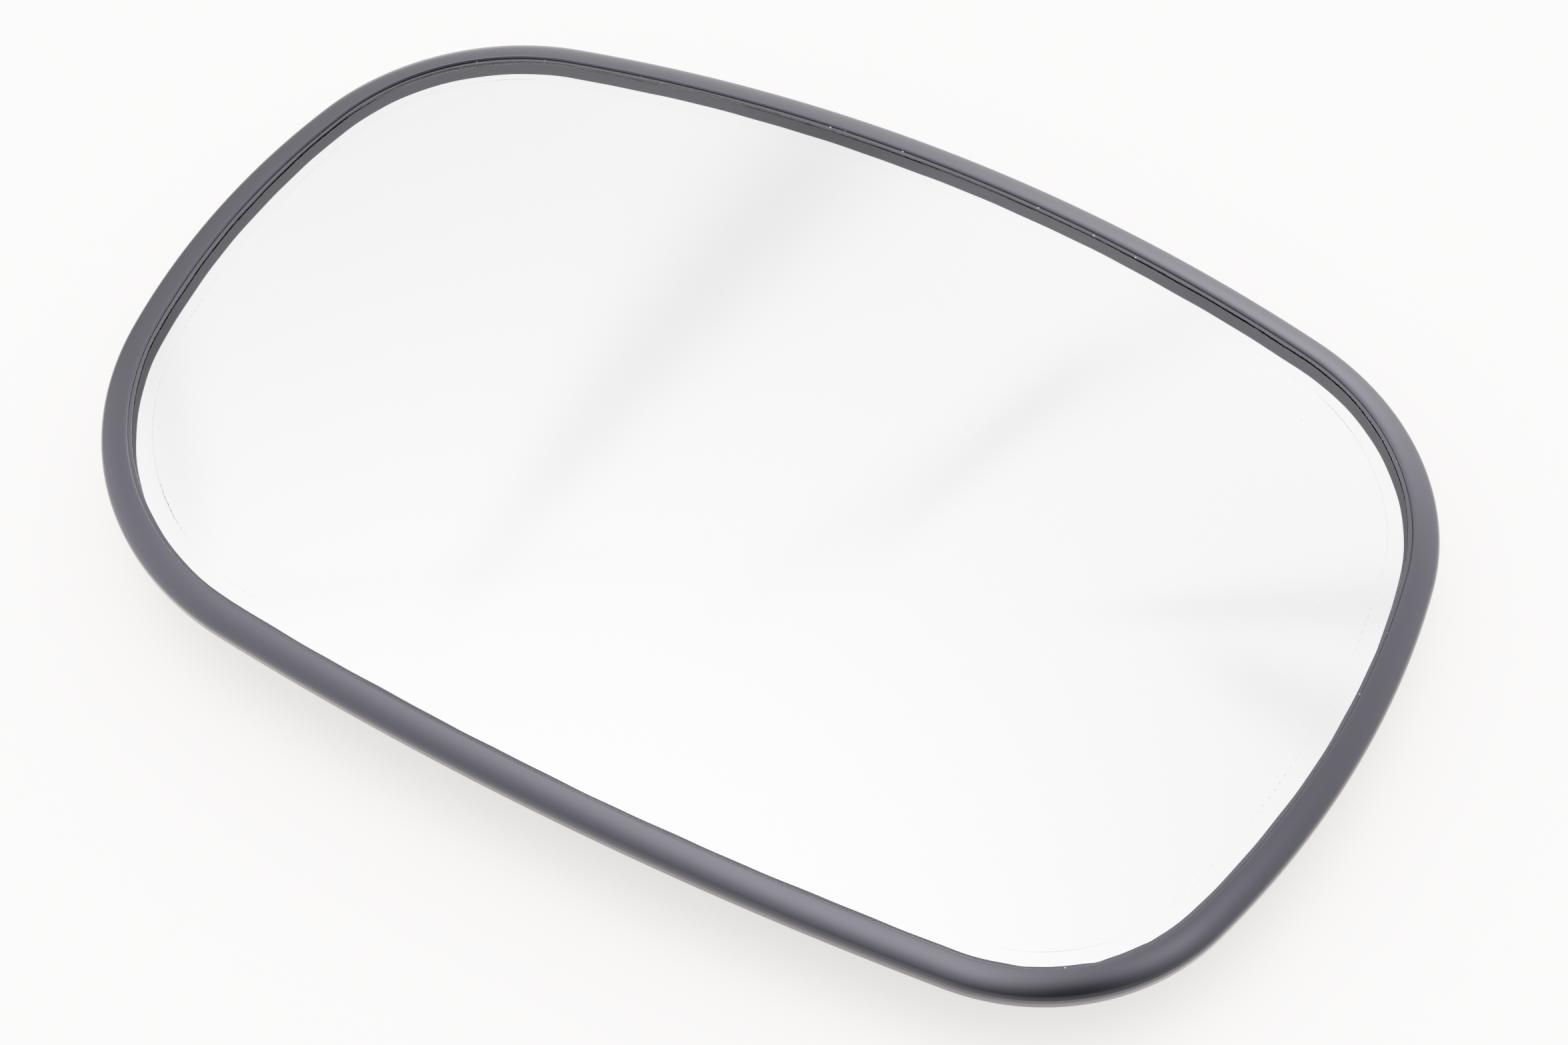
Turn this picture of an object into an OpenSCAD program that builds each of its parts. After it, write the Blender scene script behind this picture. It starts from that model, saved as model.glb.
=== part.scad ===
// Car door mirror glass: a convex second-surface mirror bonded to a black moulded holder and edged with a seal.
// The long axis runs along X, the mirror face looks up along Z, and the holder lies on its clip ring at Z = 0.

/* [Outline] */
// Overall length of the insert along X
overall_len = 172.5; // [140:0.5:220]
// Overall height of the insert along Y
overall_h = 118; // [95:0.5:150]
// Radius of the lower long side
lower_side_r = 444; // [250:1:900]
// Radius of the right end
right_end_r = 127; // [90:1:300]
// Radius of the upper long side
upper_side_r = 246; // [180:1:900]
// Radius of the left end
left_end_r = 111; // [90:1:300]
// How far each side leans, in degrees: lower, right, upper, left
side_lean = [-0.8, -3, 0, 3.8];
// Corner radii: lower right, upper right, upper left, lower left
corner_r = [26.7, 33.3, 31.6, 41.3];
// Radius of the convex mirror face
mirror_r = 1400; // [900:50:2200]

/* [Glass] */
// Thickness of the glass
glass_t = 2; // [1.6:0.1:3]
// How far the glass reaches under the rim
glass_cover = 1.5; // [0.8:0.1:2]
// Thickness of the foam bonding pad behind the glass
pad_t = 0.6; // [0.4:0.1:1.5]
// Margin from the rim's inner edge back to the edge of the bonding pad
pad_margin = 3; // [1:0.5:10]

/* [Rim] */
// Width of the rim bead
bead_w = 3.8; // [3:0.1:6]
// Height of the rim bead above the glass
bead_rise = 0.85; // [0.6:0.05:1.6]
// Depth of the bead's round side below the front of the glass
bead_drop = 2.95; // [2.4:0.05:4]
// Radius of the bead's domed top, in widths of the bead
dome_share = 1.25; // [1:0.05:4]
// Place of the dome's crown, as a share of the bead's width from its inner edge
crown_share = 0.3; // [0.2:0.05:0.6]
// Radius of the bead's outer edge, above and below
bead_outer_r = 1.4; // [1:0.1:1.7]
// Radius of the bead's inner edge
bead_inner_r = 0.5; // [0.2:0.05:0.8]
// Width of the thin lip that lies on the glass
lip_w = 0.45; // [0.2:0.05:1]
// Thickness of that lip
lip_t = 0.2; // [0.1:0.05:0.3]
// Reach of the rear lip in over the back of the holder
rear_lip_w = 1.5; // [1:0.1:2.5]
// Thickness of the rear lip
rear_lip_t = 0.7; // [0.5:0.1:1.5]
// Wall of the seal outside the edge of the holder
seal_wall = 0.7; // [0.5:0.1:1]
// Clearance between the seal and what it grips
fit_gap = 0.05; // [0.02:0.01:0.2]

/* [Holder back] */
// Thickness of the holder's plate
plate_t = 1.5; // [1.2:0.1:3]
// How far the edge of the plate stays in from the edge of the glass
plate_inset = 0.8; // [0.5:0.1:1.2]
// Thickness of the skirt that runs round the back
skirt_t = 1.5; // [1:0.1:2.5]
// Height of the skirt behind the plate
skirt_h = 2.6; // [1:0.1:4]
// Gap between the skirt and the seal's rear lip
skirt_gap = 0.4; // [0.3:0.1:2]
// Thickness of the stiffening ribs
rib_t = 1.4; // [1:0.1:2]
// Height of the stiffening ribs behind the plate
rib_h = 2.2; // [1.5:0.1:3.5]
// Spacing of the stiffening ribs
rib_pitch = 16; // [12:1:24]

/* [Actuator mount] */
// Depth of the clip ring behind the plate
ring_h = 11; // [10:0.1:16]
// Inner radius of the clip ring
ring_r = 30; // [28:0.5:36]
// Wall of the clip ring
ring_t = 2.2; // [1.6:0.1:3]
// Number of snap fingers in the clip ring
fingers = 4; // [2:1:6]
// Arc of one snap finger, in degrees
finger_arc = 20; // [14:1:30]
// Length of ring left whole between the slits and the plate
finger_root = 2.2; // [1.5:0.1:4]
// How far a finger's hook stands in from the ring
hook_in = 1.1; // [0.6:0.1:1.5]
// Height of a hook where it leaves the ring
hook_h = 2.5; // [2:0.1:3.5]
// Width of the slits beside the fingers and in the sockets
slit_w = 1; // [0.6:0.1:1.4]
// Radius of the pivot socket's mouth
pivot_r = 5.6; // [4.5:0.1:6.5]
// Radius of the two adjuster sockets' mouths
adjuster_r = 3.4; // [2.8:0.1:4]
// How much wider than its mouth a socket is inside, where the ball sits
snap = 0.5; // [0.3:0.05:0.7]
// Distance of the adjuster sockets and the guides from the middle
adjuster_at = 20; // [18:0.5:21]
// Wall of the sockets
socket_t = 2.2; // [1.6:0.1:3]
// Gap of the anti-turn guides
guide_gap = 3.2; // [2:0.1:3.8]
// Wall of the anti-turn guides
guide_t = 1.6; // [1.2:0.1:2.4]
// Length of the anti-turn guides
guide_len = 9; // [6:0.5:12]
// How far the sockets and guides stop short of the ring's end
socket_short = 0.8; // [0.4:0.1:1.6]

/* [Hidden] */
$fn = 96;
sphere_fn = 480;
// What is sunk into its neighbour so that the two are one solid
weld = 0.6;
// How far a cut runs on past what it cuts
past = 1;
// Least straight stretch between two rounds of the seal
least = 0.05;

// Offsets across the rim, from the path: the bead runs from bead_in to bead_out
bead_in = -0.5;
bead_out = bead_in + bead_w;
glass_edge = bead_in + glass_cover;
plate_edge = glass_edge - plate_inset;
rear_in = plate_edge - rear_lip_w;
skirt_out = rear_in - skirt_gap;

// Heights from the front of the glass, square to it
pad_top = -glass_t;
plate_top = pad_top - pad_t;
plate_back = plate_top - plate_t;
seal_back = plate_back - fit_gap - rear_lip_t;
pole_z = ring_h - plate_back;

// The edges in the seal's groove stand upright, so they lean in it by the slope of the glass at its ends
end_slope = overall_len/2/mirror_r;
glass_groove = glass_edge + fit_gap + glass_t*end_slope;
plate_groove = plate_edge + fit_gap - plate_back*end_slope;

// Path of the rim: four side arcs and four corner arcs, each tangent to the next
side_dir = [-90, 0, 90, 180] + side_lean;
side_r = [lower_side_r, right_end_r, upper_side_r, left_end_r];
half = [overall_h/2 - bead_out, overall_len/2 - bead_out];
function unit(v) = v/norm(v);
function heading(a) = [cos(a), sin(a)];
function azimuth(v) = atan2(v.y, v.x);
function side_mid(i) = heading(side_dir[i])*(half[i%2] - side_r[i]);
function meet(a, ra, b, rb) =
    let (d = norm(b - a), u = (b - a)/d, x = (d*d + ra*ra - rb*rb)/(2*d), y = sqrt(ra*ra - x*x))
    a + u*x + [u.y, -u.x]*y;
function corner_mid(k) =
    let (j = (k + 1)%4, r = corner_r[k])
    meet(side_mid(j), side_r[j] - r, side_mid(k), side_r[k] - r);
function touch(i, k) = side_mid(i) + side_r[i]*unit(corner_mid(k) - side_mid(i));
// Each arc as middle, radius, first point and last point, anticlockwise
arcs = [for (i = [0:3]) each [
    [side_mid(i), side_r[i], touch(i, (i + 3)%4), touch(i, i)],
    [corner_mid(i), corner_r[i], touch(i, i), touch((i + 1)%4, i)]]];

// Stations along the path: a point in plan and the direction that looks straight out of it
arc_steps = 14;
function stations(arc) =
    let (a = azimuth(arc[2] - arc[0]), b = (azimuth(arc[3] - arc[0]) - a + 720)%360)
    [for (i = [0:arc_steps - 1]) let (h = heading(a + b*i/arc_steps)) [arc[0] + arc[1]*h, h]];
path = [for (arc = arcs) each stations(arc)];

// The path laid on the mirror's sphere: how far off the sphere's axis each plan point lands
function polar(d) = 2*atan(d/(2*mirror_r));
function on_sphere(v) =
    let (p = polar(norm(v)), a = azimuth(v))
    [sin(p)*cos(a), sin(p)*sin(a), cos(p)];
// A point of a section carried round the rim: u looks outwards and w stands square off the glass
function carried(s, uw) =
    let (n = on_sphere(s[0]), o = [s[1].x, s[1].y, 0], t = unit(o - (o*n)*n))
    [0, 0, pole_z - mirror_r] + (mirror_r + uw[1])*n + uw[0]*t;

module outline(out) {
    polygon([for (s = path) let (n = on_sphere(s[0])) mirror_r*[n.x, n.y] + out*s[1]]);
}

// A layer of the sphere between two heights off the glass, with the sphere's poles turned away to the sides
module shell(top, back) {
    translate([0, 0, pole_z - mirror_r])
        rotate([90, 0, 0])
        difference() {
            sphere(mirror_r + top, $fn = sphere_fn);
            sphere(mirror_r + back, $fn = sphere_fn);
        }
}

module layer(top, back, out) {
    intersection() {
        linear_extrude(pole_z + past)
            outline(out);
        shell(top, back);
    }
}

module mirror_glass() {
    color("gainsboro")
        layer(0, -glass_t, glass_edge);
}

module bonding_pad() {
    color("dimgray")
        layer(pad_top, plate_top, bead_in - pad_margin);
}

// The bead's domed top, and how far its crown is from the inner and the outer edge
dome_r = dome_share*bead_w;
crown_in = crown_share*bead_w;
crown_out = bead_w - crown_in;
dome_mid = [bead_in + crown_in, bead_rise - dome_r];
// The largest inner round ends just above the lip, the largest outer ones just meet on the upright side
lip_reach = fit_gap + lip_t + least - dome_mid.y;
inner_limit = (dome_r^2 - crown_in^2 - lip_reach^2)/(2*(dome_r - crown_in));
side_reach = least - bead_drop - dome_mid.y;
outer_slope = side_reach + dome_r - crown_out;
outer_limit = sqrt(outer_slope^2 - side_reach^2 + dome_r^2 - crown_out^2) - outer_slope;
// Rounds of the seal's section, each no larger than its wall lets it be
inner_r = min(bead_inner_r, inner_limit);
outer_r = min(bead_outer_r, outer_limit, bead_w - inner_r - least);
heel_r = 0.4;
// The middle of a round that touches the dome from inside, from its place across the rim
function under_dome(u, r) = [u, dome_mid.y + sqrt((dome_r - r)^2 - (u - dome_mid.x)^2)];
inner_mid = under_dome(bead_in + inner_r, inner_r);
upper_mid = under_dome(bead_out - outer_r, outer_r);
inner_turn = azimuth(inner_mid - dome_mid);
outer_turn = azimuth(upper_mid - dome_mid);
lower_mid = [bead_out - outer_r, outer_r - bead_drop];
heel_mid = [plate_groove + seal_wall - heel_r, seal_back + heel_r];
// The flank between the bead and the heel touches both rounds at one angle
to_heel = heel_mid - lower_mid;
flank = azimuth(to_heel) + acos((outer_r - heel_r)/norm(to_heel));
function round_uw(mid, r, from, to, n) = [for (i = [0:n]) mid + r*heading(from + (to - from)*i/n)];
dome_steps = 4;
dome_step = (outer_turn - inner_turn)/dome_steps;
// The section: bead, flank and heel, rear lip, stepped groove for plate and glass, front lip
seal_uw = concat(
    round_uw(inner_mid, inner_r, 180, inner_turn, 3),
    round_uw(dome_mid, dome_r, inner_turn + dome_step, outer_turn - dome_step, dome_steps - 2),
    round_uw(upper_mid, outer_r, outer_turn, 0, 5),
    round_uw(lower_mid, outer_r, 0, flank, 3),
    round_uw(heel_mid, heel_r, flank, -90, 2),
    [[rear_in, seal_back],
     [rear_in, plate_back - fit_gap],
     [plate_groove, plate_back - fit_gap],
     [plate_groove, pad_top - fit_gap],
     [glass_groove, pad_top - fit_gap],
     [glass_groove, fit_gap],
     [bead_in - lip_w, fit_gap],
     [bead_in - lip_w, fit_gap + lip_t],
     [bead_in, fit_gap + lip_t]]);

module edge_seal() {
    n = len(path);
    m = len(seal_uw);
    color([0.2, 0.2, 0.21])
        polyhedron(
            points = [for (s = path) each [for (uw = seal_uw) carried(s, uw)]],
            faces = [for (i = [0:n - 1], j = [0:m - 1])
                let (a = i*m, b = ((i + 1)%n)*m, k = (j + 1)%m)
                [a + j, b + j, b + k, a + k]]);
}

// Places of the snap fingers round the ring: they stand between the sockets and the guides
finger_turn = [for (i = [0:fingers - 1]) 45 + i*360/fingers];
finger_h = ring_h - finger_root;
// A hook starts a little above the ring's end, slopes in, and is this much narrower than its finger at each side
hook_z = 0.4;
hook_nose = 0.6;
hook_side = 3;
module clip_ring() {
    difference() {
        cylinder(r = ring_r + ring_t, h = ring_h + weld);
        translate([0, 0, -past])
            cylinder(r = ring_r, h = ring_h + weld + 2*past);
        for (turn = finger_turn, side = [-1, 1])
            rotate(turn + side*finger_arc/2)
                translate([ring_r - past, -slit_w/2, -past])
                    cube([ring_t + 2*past, slit_w, finger_h + past]);
    }
    for (turn = finger_turn)
        rotate(turn - finger_arc/2 + hook_side)
            rotate_extrude(angle = finger_arc - 2*hook_side)
                polygon([
                    [ring_r + ring_t/2, hook_z],
                    [ring_r - hook_in, hook_z + (hook_h + hook_nose)/2 - hook_nose/2],
                    [ring_r - hook_in, hook_z + (hook_h + hook_nose)/2],
                    [ring_r + ring_t/2, hook_z + hook_h]]);
}

// Each socket's place, mouth radius and the turn of its slits
socket_places = [
    [0, 0, pivot_r, 0],
    [adjuster_at, 0, adjuster_r, 45],
    [0, adjuster_at, adjuster_r, 45]];
socket_h = ring_h + weld - socket_short;
module sockets() {
    for (s = socket_places)
        translate([s[0], s[1], socket_short])
            cylinder(r = s[2] + socket_t, h = socket_h);
}

// A socket takes a ball: a straight mouth opens into a rounder seat, which sinks a little into the plate
seat_sink = 0.3;
module socket_pockets() {
    for (s = socket_places) {
        ball_r = s[2] + snap;
        mouth_h = ring_h + seat_sink - ball_r;
        reach = s[2] + socket_t + past;
        translate([s[0], s[1], 0]) {
            cylinder(r = s[2], h = mouth_h);
            translate([0, 0, mouth_h])
                sphere(ball_r);
            for (turn = [0, 90])
                rotate(s[3] + turn)
                    translate([-reach, -slit_w/2, 0])
                        cube([2*reach, slit_w, mouth_h]);
        }
    }
}

// The two pairs of guide walls stand opposite the adjuster sockets
module guides() {
    for (turn = [180, 270], side = [-1, 1])
        rotate(turn)
            translate([adjuster_at - guide_len/2, side*(guide_gap + guide_t)/2 - guide_t/2, socket_short])
                cube([guide_len, guide_t, socket_h]);
}

module rib_lines() {
    nx = floor(overall_len/2/rib_pitch);
    ny = floor(overall_h/2/rib_pitch);
    for (i = [-nx:nx])
        translate([i*rib_pitch - rib_t/2, -overall_h/2])
            square([rib_t, overall_h]);
    for (i = [-ny:ny])
        translate([-overall_len/2, i*rib_pitch - rib_t/2])
            square([overall_len, rib_t]);
}

// The ribs run from the clip ring's wall to the skirt
module back_ribs() {
    intersection() {
        linear_extrude(pole_z)
            intersection() {
                difference() {
                    rib_lines();
                    circle(ring_r + ring_t/2);
                }
                outline(skirt_out - skirt_t/2);
            }
        shell(plate_back + weld, plate_back - rib_h);
    }
}

module skirt() {
    intersection() {
        linear_extrude(pole_z)
            difference() {
                outline(skirt_out);
                outline(skirt_out - skirt_t);
            }
        shell(plate_back + weld, plate_back - skirt_h);
    }
}

module mirror_holder() {
    color([0.16, 0.16, 0.17])
        difference() {
            union() {
                layer(plate_top, plate_back, plate_edge);
                skirt();
                back_ribs();
                clip_ring();
                sockets();
                guides();
            }
            socket_pockets();
        }
}

mirror_glass();
bonding_pad();
mirror_holder();
edge_seal();
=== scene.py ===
import math
import bpy
import numpy as np
from mathutils import Matrix, Vector


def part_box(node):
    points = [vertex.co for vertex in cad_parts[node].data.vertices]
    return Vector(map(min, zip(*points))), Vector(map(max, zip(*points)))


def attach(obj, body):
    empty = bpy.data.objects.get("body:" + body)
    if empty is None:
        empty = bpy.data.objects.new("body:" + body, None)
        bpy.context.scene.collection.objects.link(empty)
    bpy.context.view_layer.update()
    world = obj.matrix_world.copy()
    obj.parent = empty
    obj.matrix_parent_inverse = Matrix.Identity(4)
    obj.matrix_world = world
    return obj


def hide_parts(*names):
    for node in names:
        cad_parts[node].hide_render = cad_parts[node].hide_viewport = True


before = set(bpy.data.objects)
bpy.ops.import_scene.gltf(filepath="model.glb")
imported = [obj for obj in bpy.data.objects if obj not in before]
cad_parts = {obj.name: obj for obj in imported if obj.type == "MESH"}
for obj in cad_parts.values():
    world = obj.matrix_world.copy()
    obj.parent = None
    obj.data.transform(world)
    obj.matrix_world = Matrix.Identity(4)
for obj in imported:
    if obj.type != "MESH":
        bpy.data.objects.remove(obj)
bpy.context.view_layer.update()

# All lengths below are in millimetres, and MM takes them to metres
MM = 0.001
seal_low, seal_high = (np.array(corner)/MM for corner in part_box("edge_seal"))

# Outline of the rim, its length and height taken from the frame. The four sides go round from the near
# one, SIDE_WAY is the angle that each faces, and each corner lies between its side and the next
OVERALL_LEN, OVERALL_H = (seal_high - seal_low)[:2]
SIDE_R = (444, 127, 246, 111)
SIDE_WAY = (-90.8, -3, 90, 183.8)
CORNER_R = (26.7, 33.3, 31.6, 41.3)
MIRROR_R = 1400
GLASS_T = 2
POLE_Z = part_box("mirror_glass")[1].z/MM

# Section of the seal: u looks outwards from the path, w stands square off the front of the glass
BEAD_IN, BEAD_OUT = -0.5, 3.3
BEAD_RISE, BEAD_DROP = 0.73, 2.57
DOME_R, CROWN_IN = 10.0, -0.7
INNER_R, OUTER_R = 0.3, 1.0
LIP_W, LIP_T, LIP_R = 0.45, 0.2, 0.08
FIT_GAP = 0.05
GLASS_EDGE = 1.0
GLASS_GROOVE = 1.17
PLATE_BACK = -4.1
PLATE_GROOVE = 0.5
REAR_IN = -1.3
HEEL_R = 0.4
SEAL_WALL = 0.7
SEAL_BACK = PLATE_BACK - FIT_GAP - SEAL_WALL
FOOT_W, FOOT_H = 0.06, 0.015

# The lip's inner edge strays by sine waves (height, waves to the whole rim, phase) and by nicks (place on
# the rim as a share of its run, depth, width)
LIP_WAVES = ((0.035, 9, 1), (0.03, 23, 4), (0.018, 57, 0))
LIP_NICKS = ((0.228, 0.10, 1.2), (0.247, 0.14, 1.0), (0.262, 0.08, 0.8))

# Fineness of the meshes
SEAL_STATIONS, GLASS_STATIONS, GLASS_RINGS = 880, 720, 60


def heading(degrees):
    """The unit vector at an angle: its cosine and its sine."""
    return np.array([math.cos(math.radians(degrees)), math.sin(math.radians(degrees))])


def azimuth(v):
    """The angle of a vector, in degrees."""
    return math.degrees(math.atan2(v[1], v[0]))


def meeting(a, reach_a, b, reach_b):
    """The point at distance reach_a from a and reach_b from b, on the right of the way from a to b."""
    way = b - a
    apart = np.linalg.norm(way)
    along = (apart**2 + reach_a**2 - reach_b**2)/(2*apart)
    aside = math.sqrt(reach_a**2 - along**2)
    return a + (way*along + np.array([way[1], -way[0]])*aside)/apart


def rim_arcs():
    """The eight arcs of the path as middle, radius, first angle and turn: a side and a corner in turn.

    A side's middle lies its radius in from the side. A corner's middle is as far from both neighbouring
    side middles as the side's radius less the corner's, so that each arc is tangent to the next.
    """
    half = np.array([OVERALL_H, OVERALL_LEN, OVERALL_H, OVERALL_LEN])/2 - BEAD_OUT
    side_mid = [heading(SIDE_WAY[i])*(half[i] - SIDE_R[i]) for i in range(4)]
    corner_mid = [meeting(side_mid[(k + 1) % 4], SIDE_R[(k + 1) % 4] - CORNER_R[k],
                          side_mid[k], SIDE_R[k] - CORNER_R[k]) for k in range(4)]
    arcs = []
    for i in range(4):
        before = azimuth(corner_mid[i - 1] - side_mid[i])
        after = azimuth(corner_mid[i] - side_mid[i])
        leaving = azimuth(corner_mid[i] - side_mid[(i + 1) % 4])
        arcs.append((side_mid[i], SIDE_R[i], before, (after - before) % 360))
        arcs.append((corner_mid[i], CORNER_R[i], after, (leaving - after) % 360))
    return arcs


def rim_path(count):
    """About count stations: points in plan, the ways straight out of the path, and the run up to each.

    Each arc gets stations in proportion to its length, evenly spread over its turn.
    """
    arcs = rim_arcs()
    lengths = [radius*math.radians(turn) for _, radius, _, turn in arcs]
    points, ways = [], []
    for (middle, radius, first, turn), length in zip(arcs, lengths):
        steps = max(8, round(count*length/sum(lengths)))
        angles = np.radians(first + turn*np.arange(steps)/steps)
        way = np.stack([np.cos(angles), np.sin(angles)], -1)
        points.append(middle + radius*way)
        ways.append(way)
    points, ways = np.concatenate(points), np.concatenate(ways)
    steps = np.linalg.norm(np.roll(points, -1, 0) - points, axis=1)
    return points, ways, np.concatenate([[0], np.cumsum(steps)])


def on_sphere(points):
    """Unit normals of the mirror's sphere where plan points land.

    A point d from the middle lands 2 atan(d/2R) off the sphere's axis.
    """
    reach = np.linalg.norm(points, axis=-1)
    off_axis = 2*np.arctan(reach/(2*MIRROR_R))
    around = np.arctan2(points[..., 1], points[..., 0])
    aside = np.sin(off_axis)
    return np.stack([aside*np.cos(around), aside*np.sin(around), np.cos(off_axis)], -1)


def carried(points, ways, section_u, section_w):
    """The section carried round the rim: the glass front, plus w along its normal, plus u straight out.

    section_u and section_w are arrays of stations by section points.
    """
    normal = on_sphere(points)
    out = np.concatenate([ways, np.zeros((len(ways), 1))], 1)
    out -= (out*normal).sum(1)[:, None]*normal
    out /= np.linalg.norm(out, axis=1)[:, None]
    middle = np.array([0, 0, POLE_Z - MIRROR_R])
    return (middle + (MIRROR_R + section_w)[..., None]*normal[:, None]
            + section_u[..., None]*out[:, None])


def arc_points(middle, radius, first, last, steps):
    """Points on an arc: the middle plus the radius times cosine and sine of the angle."""
    angles = np.radians(np.linspace(first, last, steps + 1))
    return np.asarray(middle) + radius*np.stack([np.cos(angles), np.sin(angles)], -1)


def seal_section():
    """The closed section of the seal, and how much each of its points follows the lip's waver."""
    dome_mid = np.array([BEAD_IN + CROWN_IN, BEAD_RISE - DOME_R])

    def under_dome(u, r):
        return np.array([u, dome_mid[1] + math.sqrt((DOME_R - r)**2 - (u - dome_mid[0])**2)])

    inner_mid = under_dome(BEAD_IN + INNER_R, INNER_R)
    upper_mid = under_dome(BEAD_OUT - OUTER_R, OUTER_R)
    inner_turn, outer_turn = azimuth(inner_mid - dome_mid), azimuth(upper_mid - dome_mid)
    lower_mid = np.array([BEAD_OUT - OUTER_R, OUTER_R - BEAD_DROP])
    heel_mid = np.array([PLATE_GROOVE + SEAL_WALL - HEEL_R, SEAL_BACK + HEEL_R])
    to_heel = heel_mid - lower_mid
    flank = azimuth(to_heel) + math.degrees(math.acos((OUTER_R - HEEL_R)/np.linalg.norm(to_heel)))
    lip_top = FIT_GAP + LIP_T
    lip_in = BEAD_IN - LIP_W
    parts = [
        arc_points(inner_mid, INNER_R, 180, inner_turn, 10),
        arc_points(dome_mid, DOME_R, inner_turn, outer_turn, 12)[1:-1],
        arc_points(upper_mid, OUTER_R, outer_turn, 0, 12),
        arc_points(lower_mid, OUTER_R, 0, flank, 7),
        arc_points(heel_mid, HEEL_R, flank, -90, 5),
        [(REAR_IN, SEAL_BACK), (REAR_IN, PLATE_BACK - FIT_GAP), (PLATE_GROOVE, PLATE_BACK - FIT_GAP),
         (PLATE_GROOVE, -GLASS_T - FIT_GAP), (GLASS_GROOVE, -GLASS_T - FIT_GAP), (GLASS_GROOVE, FIT_GAP)]]
    lip = [
        [(lip_in + LIP_R, FIT_GAP)],
        arc_points((lip_in + LIP_R, FIT_GAP + LIP_R), LIP_R, -90, -180, 3)[1:],
        arc_points((lip_in + LIP_R, lip_top - LIP_R), LIP_R, 180, 90, 4)]
    foot = [(BEAD_IN - FOOT_W, lip_top), (BEAD_IN - FOOT_W/6, lip_top + FOOT_H)]
    points = np.concatenate([np.concatenate(parts), np.concatenate(lip), foot])
    follows = np.zeros(len(points))
    first = sum(len(part) for part in parts)
    follows[first:first + sum(len(part) for part in lip)] = 1
    return points, follows


def waver(run, total):
    """How far the lip's inner edge strays: sine waves that close up, and nicks of a bell's shape."""
    turn = 2*math.pi*run/total
    waves = sum(height*np.sin(count*turn + phase) for height, count, phase in LIP_WAVES)
    nicks = sum(depth*np.exp(-((run/total - at)*total/width)**2) for at, depth, width in LIP_NICKS)
    return waves + nicks


def quads(rows, columns, close_rows=False):
    """Corner numbers of the quads between neighbouring points of a grid whose columns close up."""
    i = np.arange(rows if close_rows else rows - 1)[:, None]
    j = np.arange(columns)[None, :]
    below, next_j = (i + 1) % rows, (j + 1) % columns
    corners = np.stack(np.broadcast_arrays(
        i*columns + j, below*columns + j, below*columns + next_j, i*columns + next_j), -1)
    return corners.reshape(-1, 4)


def mesh_object(name, points, faces, sharp=35):
    """A smooth shaded object from points in millimetres and faces, its edges kept past a sharp angle."""
    mesh = bpy.data.meshes.new(name)
    mesh.from_pydata((points*MM).tolist(), [], [list(map(int, face)) for face in faces])
    mesh.polygons.foreach_set("use_smooth", np.ones(len(faces), bool))
    mesh.set_sharp_from_angle(angle=math.radians(sharp))
    mesh.update()
    piece = bpy.data.objects.new(name, mesh)
    bpy.context.collection.objects.link(piece)
    return piece


def edge_seal():
    """The seal: its section carried round the rim, with a UV map of run and way across, in metres.

    The section runs over its top from the inside out, so its quads are turned round to face outwards.
    """
    points, ways, run = rim_path(SEAL_STATIONS)
    section, follows = seal_section()
    rows, columns = len(points), len(section)
    stray = waver(run[:-1], run[-1])[:, None]*follows
    u = section[:, 0] + stray
    w = np.broadcast_to(section[:, 1], u.shape)
    body = carried(points, ways, u, w).reshape(-1, 3)
    faces = quads(rows, columns, close_rows=True)[:, [0, 3, 2, 1]]
    piece = mesh_object("edge_seal_rubber", body, faces)
    steps = np.linalg.norm(np.roll(section, -1, 0) - section, axis=1)
    across = np.concatenate([[0], np.cumsum(steps)])
    i, j = np.divmod(np.arange(rows*columns), columns)
    corners = np.stack([np.stack([run[i + a], across[j + b]], -1)
                        for a, b in ((0, 0), (0, 1), (1, 1), (1, 0))], 1)
    layer = piece.data.uv_layers.new(name="Rim")
    layer.data.foreach_set("uv", (corners*MM).astype(np.float32).ravel())
    return piece


def mirror_glass():
    """The glass, and which of its faces are silvered.

    Its front and back lie on spheres about one middle, as rings that shrink towards the pole, with a wall
    between. A point at share t of the way to the edge lies at t times the edge's plan point.
    """
    points, ways, _ = rim_path(GLASS_STATIONS)
    normal = on_sphere(points)
    edge = MIRROR_R*normal[:, :2] + GLASS_EDGE*ways
    columns = len(edge)
    share = (np.arange(GLASS_RINGS) + 1)/GLASS_RINGS
    plan = share[:, None, None]*edge
    squared = (plan**2).sum(-1)

    def sheet(radius):
        height = POLE_Z - MIRROR_R + np.sqrt(radius**2 - squared)
        return np.concatenate([plan, height[..., None]], -1)

    front, back = sheet(MIRROR_R), sheet(MIRROR_R - GLASS_T)
    poles = np.array([[0, 0, POLE_Z], [0, 0, POLE_Z - GLASS_T]])
    body = np.concatenate([front.reshape(-1, 3), back[::-1].reshape(-1, 3), poles])
    faces = quads(2*GLASS_RINGS, columns)
    j = np.arange(columns)
    next_j = (j + 1) % columns
    last = (2*GLASS_RINGS - 1)*columns
    front_fan = np.stack([np.full(columns, len(body) - 2), j, next_j], -1)
    back_fan = np.stack([np.full(columns, len(body) - 1), last + next_j, last + j], -1)
    every = [*faces, *front_fan, *back_fan]
    piece = mesh_object("mirror_glass_plate", body, every)
    on_back = np.arange(len(faces)) >= GLASS_RINGS*columns
    silvered = np.concatenate([on_back, np.zeros(columns, bool), np.ones(columns, bool)])
    return piece, silvered.astype(np.int32)


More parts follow.
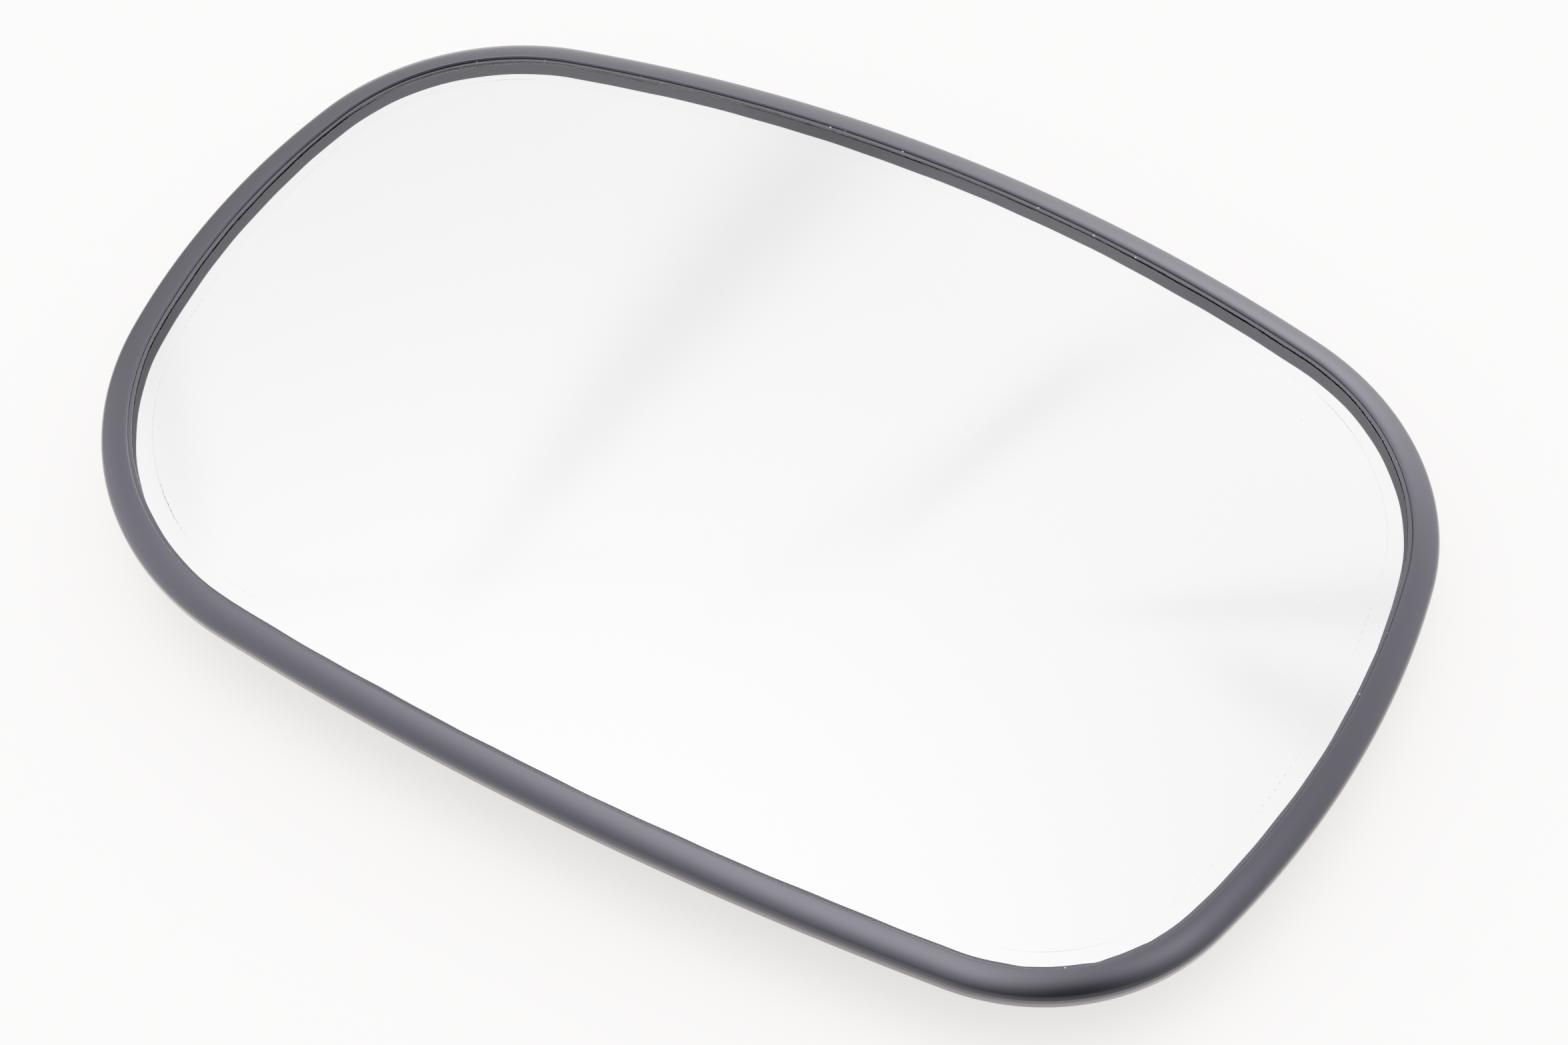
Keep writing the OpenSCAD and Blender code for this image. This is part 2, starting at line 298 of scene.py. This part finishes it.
class Wire:
    """An output socket. Sums on it, with numbers or other wires, add Math nodes to its tree."""

    def __init__(self, tree, socket):
        self.tree, self.socket = tree, socket

    def out(self, name):
        """Another output of the same node."""
        return Wire(self.tree, self.socket.node.outputs[name])

    def math(self, operation, *others):
        """A Math node whose first value is this wire."""
        values = dict(enumerate((self, *others)))
        return self.tree.add("ShaderNodeMath", {"operation": operation}, values)

    def __add__(self, other):
        return self.math("ADD", other)

    def __sub__(self, other):
        return self.math("SUBTRACT", other)

    def __rsub__(self, other):
        return self*-1 + other

    def __mul__(self, other):
        return self.math("MULTIPLY", other)

    def __truediv__(self, other):
        return self.math("DIVIDE", other)

    def exp(self):
        return self.math("EXPONENT")

    __radd__ = __add__
    __rmul__ = __mul__


class Tree:
    """The emptied node tree of a material or a world."""

    def __init__(self, owner):
        owner.use_nodes = True
        self.nodes, self.links = owner.node_tree.nodes, owner.node_tree.links
        self.nodes.clear()

    def add(self, kind, settings=(), inputs=()):
        """A node of a kind: its settings are set first, then its sockets' values or links."""
        node = self.nodes.new(kind)
        for name, value in dict(settings).items():
            setattr(node, name, value)
        for name, value in dict(inputs).items():
            if isinstance(value, Wire):
                self.links.new(value.socket, node.inputs[name])
            else:
                node.inputs[name].default_value = value
        return Wire(self, node.outputs[0] if node.outputs else None)

    def step(self, value, low, high):
        """0 at low, 1 at high, smooth between and level beyond them, whichever is the larger."""
        return self.add("ShaderNodeMapRange", {"interpolation_type": "SMOOTHSTEP"},
                        {"Value": value, "From Min": low, "From Max": high})

    def noise(self, coordinates, scale, detail=2.0, roughness=0.5):
        """Soft noise of a scale that counts per metre."""
        return self.add("ShaderNodeTexNoise", {}, {
            "Vector": coordinates, "Scale": scale, "Detail": detail, "Roughness": roughness})

    def blend(self, share, a, b):
        """Colour a where share is 0 and colour b where it is 1."""
        node = self.add("ShaderNodeMix", {"data_type": "RGBA"}, {0: share}).socket.node
        node.inputs[6].default_value, node.inputs[7].default_value = (*a, 1), (*b, 1)
        return Wire(self, node.outputs[2])


def material(name):
    """A new material and its emptied tree."""
    made = bpy.data.materials.new(name)
    return made, Tree(made)


def seal_finish():
    """Black satin rubber: a fine skin grain, slow changes of gloss, dust in the groove beside the lip."""
    made, tree = material("seal")
    place = tree.add("ShaderNodeTexCoord").out("Object")
    rim = tree.add("ShaderNodeUVMap", {"uv_map": "Rim"})
    grain = tree.noise(place, 9000, 2)
    cloud = tree.noise(place, 60, 3)
    run = tree.add("ShaderNodeSeparateXYZ", {}, {"Vector": rim})
    across = run.out("Y")
    section_len = np.linalg.norm(np.diff(seal_section()[0], axis=0), axis=1).sum()*MM
    near_foot = tree.step(across, section_len - 1.0*MM, section_len - 0.3*MM)
    cells = tree.add("ShaderNodeTexVoronoi", {"voronoi_dimensions": "2D"},
                     {"Vector": rim, "Scale": 900, "Randomness": 1.0})
    tint = tree.add("ShaderNodeSeparateColor", {}, {"Color": cells.out("Color")})
    fleck = tree.step(cells.out("Distance"), 0.16, 0.07)*tree.step(tint, 0.91, 0.93)
    dust = fleck*near_foot*tree.step(tree.noise(place, 25, 1), 0.42, 0.6)
    colour = tree.blend(dust*0.8, (0.0034, 0.0032, 0.0042), (0.5, 0.5, 0.5))
    bump = tree.add("ShaderNodeBump", {}, {"Height": grain, "Strength": 0.08, "Distance": 0.00002})
    shader = tree.add("ShaderNodeBsdfPrincipled", {}, {
        "Base Color": colour, "Roughness": 0.12 + cloud*0.06 + dust*0.3, "Normal": bump,
        "IOR": 1.6, "Specular Tint": (0.93, 0.92, 1.0, 1)})
    tree.add("ShaderNodeOutputMaterial", {}, {"Surface": shader})
    return made


def glass_finish():
    """Clear glass, faintly green."""
    made, tree = material("clear_glass")
    shader = tree.add("ShaderNodeBsdfPrincipled", {}, {
        "Base Color": (0.985, 0.995, 0.99, 1), "Roughness": 0.0, "Transmission Weight": 1.0, "IOR": 1.5})
    tree.add("ShaderNodeOutputMaterial", {}, {"Surface": shader})
    return made


def silver_finish():
    """The silver behind the glass: a clean metal mirror."""
    made, tree = material("silver")
    shader = tree.add("ShaderNodeBsdfPrincipled", {}, {
        "Base Color": (0.75, 0.755, 0.72, 1), "Roughness": 0.01, "Metallic": 1.0})
    tree.add("ShaderNodeOutputMaterial", {}, {"Surface": shader})
    return made


def holder_finish():
    """Black moulded plastic: fine spark grain, a slightly uneven gloss and soft flow marks."""
    made, tree = material("holder")
    place = tree.add("ShaderNodeTexCoord").out("Object")
    grain = tree.noise(place, 5200, 3)
    cloud = tree.noise(place, 45, 4)
    colour = tree.blend(cloud, (0.012, 0.012, 0.013), (0.019, 0.019, 0.021))
    bump = tree.add("ShaderNodeBump", {}, {"Height": grain, "Strength": 0.35, "Distance": 0.00004})
    shader = tree.add("ShaderNodeBsdfPrincipled", {}, {
        "Base Color": colour, "Roughness": 0.42 + cloud*0.16, "Normal": bump})
    tree.add("ShaderNodeOutputMaterial", {}, {"Surface": shader})
    return made


def foam_finish():
    """Closed foam: small dark cells."""
    made, tree = material("foam")
    place = tree.add("ShaderNodeTexCoord").out("Object")
    cells = tree.add("ShaderNodeTexVoronoi", {}, {"Vector": place, "Scale": 3500})
    colour = tree.blend(cells, (0.03, 0.03, 0.032), (0.012, 0.012, 0.013))
    bump = tree.add("ShaderNodeBump", {}, {"Height": cells, "Strength": 0.5, "Distance": 0.00008})
    shader = tree.add("ShaderNodeBsdfPrincipled", {}, {
        "Base Color": colour, "Roughness": 0.9, "Normal": bump})
    tree.add("ShaderNodeOutputMaterial", {}, {"Surface": shader})
    return made


def floor_finish():
    """Matt white, and clear when seen from underneath so that the holder's back can be looked at."""
    made, tree = material("floor")
    white = tree.add("ShaderNodeBsdfPrincipled", {}, {
        "Base Color": (0.94, 0.89, 0.80, 1), "Roughness": 1.0, "Specular IOR Level": 0.0,
        "Emission Color": (1.0, 0.95, 0.92, 1), "Emission Strength": 0.85})
    clear = tree.add("ShaderNodeBsdfTransparent")
    below = tree.add("ShaderNodeNewGeometry").out("Backfacing")
    shader = tree.add("ShaderNodeMixShader", {}, {0: below, 1: white, 2: clear})
    tree.add("ShaderNodeOutputMaterial", {}, {"Surface": shader})
    return made


# The camera looks from in front and to the right, at the photo's angle
CAMERA_AZIMUTH, CAMERA_ELEVATION = 28.57, 54.0
CAMERA_REACH = 369.18
CAMERA_AIM = (9.264, -9.38, POLE_Z)
SENSOR_W = 36
FOCAL_PIXELS, IMAGE_W = 4400, 2352


def camera():
    """The camera's back axis has the azimuth and elevation; its right axis is level."""
    turn, rise = math.radians(CAMERA_AZIMUTH), math.radians(CAMERA_ELEVATION)
    back = Vector((math.sin(turn)*math.cos(rise), -math.cos(turn)*math.cos(rise), math.sin(rise)))
    right = Vector((math.cos(turn), math.sin(turn), 0))
    up = back.cross(right)
    lens = bpy.data.cameras.new("camera")
    lens.sensor_width = SENSOR_W
    lens.lens = SENSOR_W*FOCAL_PIXELS/IMAGE_W
    lens.clip_start = 0.01
    made = bpy.data.objects.new("camera", lens)
    place = (Vector(CAMERA_AIM) + back*CAMERA_REACH)*MM
    made.matrix_world = Matrix.Translation(place) @ Matrix((right, up, back)).transposed().to_4x4()
    bpy.context.collection.objects.link(made)
    bpy.context.scene.camera = made


# The mirror looks past the camera at the tent's far side, at this elevation. Ways that turn from it get a
# least value, so that their slopes off it stay finite
MIRROR_LOOK, LEAST_AHEAD = 55.0, 0.05
# What the camera itself sees past the floor, the light of the tent's cloth, and the least light anywhere
BACKDROP, TENT_GLOW, TENT_DARK = 4.5, 4.2, 0.05
# Brighter and darker patches of the cloth: turn away from the camera, elevation, width and strength
PATCHES = (
    (-153, 76, 0.36, 5.5),
    (-25, 84, 0.24, 5.2),
    (154, 30, 0.22, 3.1),
    (88, 65, 0.20, 3.7),
    (-107, 18, 0.38, 1.7),
    (33, 85, 0.50, -4.3),
    (24, 21, 1.20, -2.9),
    (-142, -6, 0.80, -3.0),
)
# Folds in the cloth: slopes off the mirror's look at both ends, width at both ends, and the light taken
FOLDS = (
    ((0.011, -0.203), (-0.167, 0.055), (0.040, 0.011), 1.00),
    ((0.190, -0.120), (-0.032, 0.055), (0.024, 0.014), 0.50),
    ((0.127, -0.072), (0.035, 0.034), (0.012, 0.010), 0.40),
    ((0.330, 0.024), (0.150, 0.046), (0.022, 0.008), 0.70),
    ((0.320, 0.115), (0.200, 0.060), (0.035, 0.012), 0.70),
    ((-0.315, -0.16), (-0.285, 0.04), (0.020, 0.014), 0.70),
    ((-0.250, 0.030), (-0.020, 0.015), (0.012, 0.012), 0.25),
)


def studio_light():
    """A white tent with brighter and darker patches and soft folds, plain where the camera sees it.

    A fold is a band that narrows from end to end: it takes exp of minus the squared share of its width.
    """
    world = bpy.data.worlds.new("tent")
    bpy.context.scene.world = world
    tree = Tree(world)
    way = tree.add("ShaderNodeTexCoord").out("Generated")

    def along(turn, rise):
        """How far the way goes along a direction of some turn away from the camera and elevation."""
        turn, rise = math.radians(turn + CAMERA_AZIMUTH - 90), math.radians(rise)
        axis = (math.cos(turn)*math.cos(rise), math.sin(turn)*math.cos(rise), math.sin(rise))
        product = tree.add("ShaderNodeVectorMath", {"operation": "DOT_PRODUCT"}, {0: way, 1: axis})
        return product.out("Value")

    def spot(turn, rise, width):
        """A round spot of soft edge: exp of minus the squared chord over the squared width in radians."""
        return ((along(turn, rise) - 1)*(2/width**2)).exp()

    light = TENT_GLOW + sum(strength*spot(turn, rise, width)
                            for turn, rise, width, strength in PATCHES)
    ahead = along(180, MIRROR_LOOK).math("MAXIMUM", LEAST_AHEAD)
    x, y = along(90, 0)/ahead, along(0, 90 - MIRROR_LOOK)/ahead
    for (x0, y0), (x1, y1), (wide, narrow), depth in FOLDS:
        length = math.hypot(x1 - x0, y1 - y0)
        way_x, way_y = (x1 - x0)/length, (y1 - y0)/length
        run = (x - x0)*way_x + (y - y0)*way_y
        aside = ((x - x0)*way_y - (y - y0)*way_x)/(run*((narrow - wide)/length) + wide)
        ends = tree.step(run, 1.15*length, 0.6*length)*tree.step(run, -0.5*length, 0)
        light = light - (aside*aside*-1).exp()*ends*depth
    light = light.math("MAXIMUM", TENT_DARK)
    seen = tree.add("ShaderNodeLightPath").out("Is Camera Ray")
    glow = tree.add("ShaderNodeBackground", {}, {
        "Color": (0.98, 0.97, 1.05, 1), "Strength": light*(1 - seen) + BACKDROP*seen})
    tree.add("ShaderNodeOutputWorld", {}, {"Surface": glow})


def film():
    """A soft film response, so that white goes over gently: a scene value x shows as 1 - exp(-x)."""
    view = bpy.context.scene.view_settings
    view.view_transform = "Standard"
    view.use_curve_mapping = True
    mapping = view.curve_mapping
    brightest, all_channels = 8.0, 3
    mapping.white_level = (brightest,)*3
    curve = mapping.curves[all_channels]
    for value in (0.15, 0.4, 0.8, 1.4, 2.2, 3.2, 4.5, 6.0):
        curve.points.new(value/brightest, 1 - math.exp(-value))
    mapping.update()


def floor():
    """A flat square floor under the object."""
    reach = 3000.0
    corners = reach*np.array([(-1, -1, 0), (1, -1, 0), (1, 1, 0), (-1, 1, 0)])
    made = mesh_object("floor", corners, [(0, 1, 2, 3)])
    made.data.materials.append(floor_finish())


def dress(node, finish):
    """Gives a CAD node a finish in place of its plain one."""
    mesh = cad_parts[node].data
    mesh.materials.clear()
    mesh.materials.append(finish)


camera()
seal = edge_seal()
seal.data.materials.append(seal_finish())
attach(seal, "root")
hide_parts("edge_seal")

glass, silvered = mirror_glass()
glass.data.materials.append(glass_finish())
glass.data.materials.append(silver_finish())
glass.data.polygons.foreach_set("material_index", silvered)
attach(glass, "root")
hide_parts("mirror_glass")

dress("mirror_holder", holder_finish())
dress("bonding_pad", foam_finish())
floor()
studio_light()
film()
